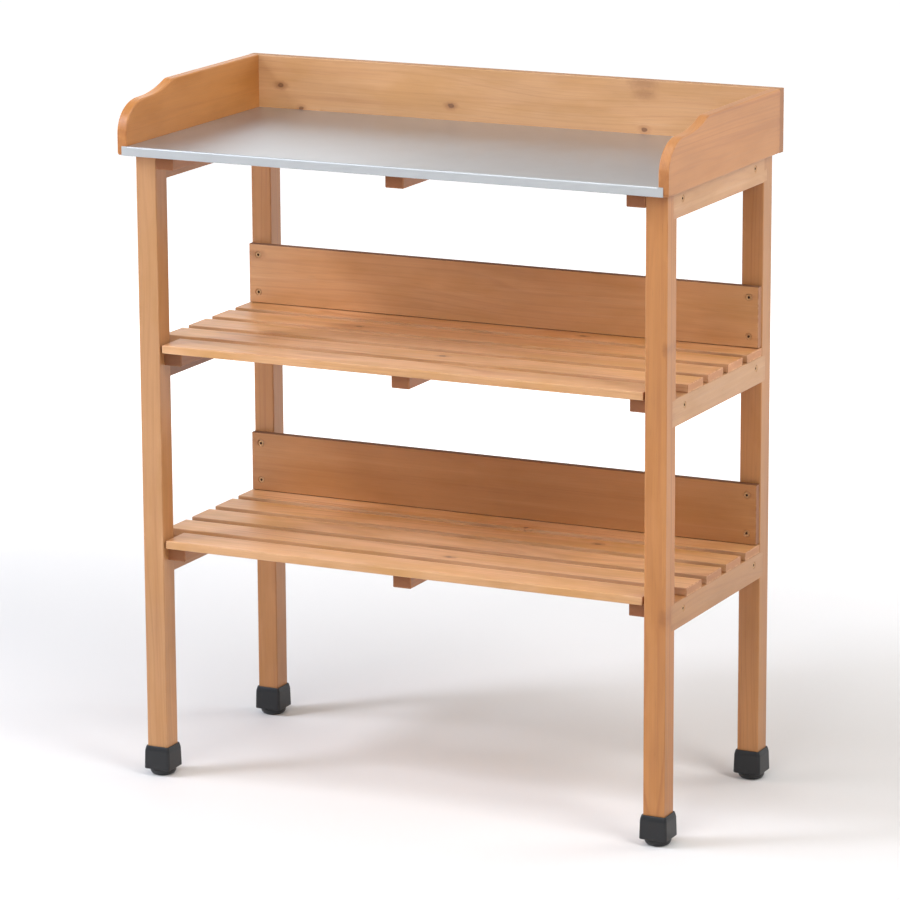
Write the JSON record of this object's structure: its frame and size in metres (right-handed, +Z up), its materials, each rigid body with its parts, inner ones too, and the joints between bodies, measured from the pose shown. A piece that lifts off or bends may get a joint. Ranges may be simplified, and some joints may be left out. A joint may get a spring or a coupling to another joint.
{
  "type": "potting bench",
  "caption": "Tall wooden potting bench: a galvanised work top in a raised tray, two slatted shelves with back boards, square legs in black foot caps.",
  "frame": {"origin": "middle of the footprint on the floor: the bottom centre of the bounding box", "axes": "+X to the right end, +Y to the back, +Z up; the open front of the tray looks along -Y"},
  "size_m": [0.78, 0.38, 0.932],
  "materials": {
    "stained_softwood": "honey-brown stained softwood, semi-matt, with visible grain and small knots",
    "galvanised_steel": "galvanised sheet, satin, pale grey",
    "black_plastic": "black moulded plastic, matt",
    "zinc_screws": "zinc-plated countersunk screws, slightly dulled"
  },
  "bodies": {
    "root": {"foot_cap_back_left": "black_plastic", "foot_cap_back_right": "black_plastic", "foot_cap_front_left": "black_plastic", "foot_cap_front_right": "black_plastic", "leg_back_left": "stained_softwood", "leg_back_right": "stained_softwood", "leg_front_left": "stained_softwood", "leg_front_right": "stained_softwood", "lower_shelf_back_board": "stained_softwood", "lower_shelf_cleat_center": "stained_softwood", "lower_shelf_cleat_left": "stained_softwood", "lower_shelf_cleat_right": "stained_softwood", "lower_shelf_slat_1": "stained_softwood", "lower_shelf_slat_2": "stained_softwood", "lower_shelf_slat_3": "stained_softwood", "lower_shelf_slat_4": "stained_softwood", "lower_shelf_slat_5": "stained_softwood", "metal_top_sheet": "galvanised_steel", "middle_shelf_back_board": "stained_softwood", "middle_shelf_cleat_center": "stained_softwood", "middle_shelf_cleat_left": "stained_softwood", "middle_shelf_cleat_right": "stained_softwood", "middle_shelf_slat_1": "stained_softwood", "middle_shelf_slat_2": "stained_softwood", "middle_shelf_slat_3": "stained_softwood", "middle_shelf_slat_4": "stained_softwood", "middle_shelf_slat_5": "stained_softwood", "rail_lower_left": "stained_softwood", "rail_lower_right": "stained_softwood", "rail_middle_left": "stained_softwood", "rail_middle_right": "stained_softwood", "rail_top_left": "stained_softwood", "rail_top_right": "stained_softwood", "screw_back_board_lower_left_high": "zinc_screws", "screw_back_board_lower_left_low": "zinc_screws", "screw_back_board_lower_right_high": "zinc_screws", "screw_back_board_lower_right_low": "zinc_screws", "screw_back_board_middle_left_high": "zinc_screws", "screw_back_board_middle_left_low": "zinc_screws", "screw_back_board_middle_right_high": "zinc_screws", "screw_back_board_middle_right_low": "zinc_screws", "screw_rail_lower_left_back": "zinc_screws", "screw_rail_lower_left_front": "zinc_screws", "screw_rail_lower_right_back": "zinc_screws", "screw_rail_lower_right_front": "zinc_screws", "screw_rail_middle_left_back": "zinc_screws", "screw_rail_middle_left_front": "zinc_screws", "screw_rail_middle_right_back": "zinc_screws", "screw_rail_middle_right_front": "zinc_screws", "screw_rail_top_left_back": "zinc_screws", "screw_rail_top_left_front": "zinc_screws", "screw_rail_top_right_back": "zinc_screws", "screw_rail_top_right_front": "zinc_screws", "tray_back_board": "stained_softwood", "tray_base_panel": "stained_softwood", "tray_cleat_center": "stained_softwood", "tray_cleat_left": "stained_softwood", "tray_cleat_right": "stained_softwood", "tray_side_left": "stained_softwood", "tray_side_right": "stained_softwood"}
  },
  "joints": []
}
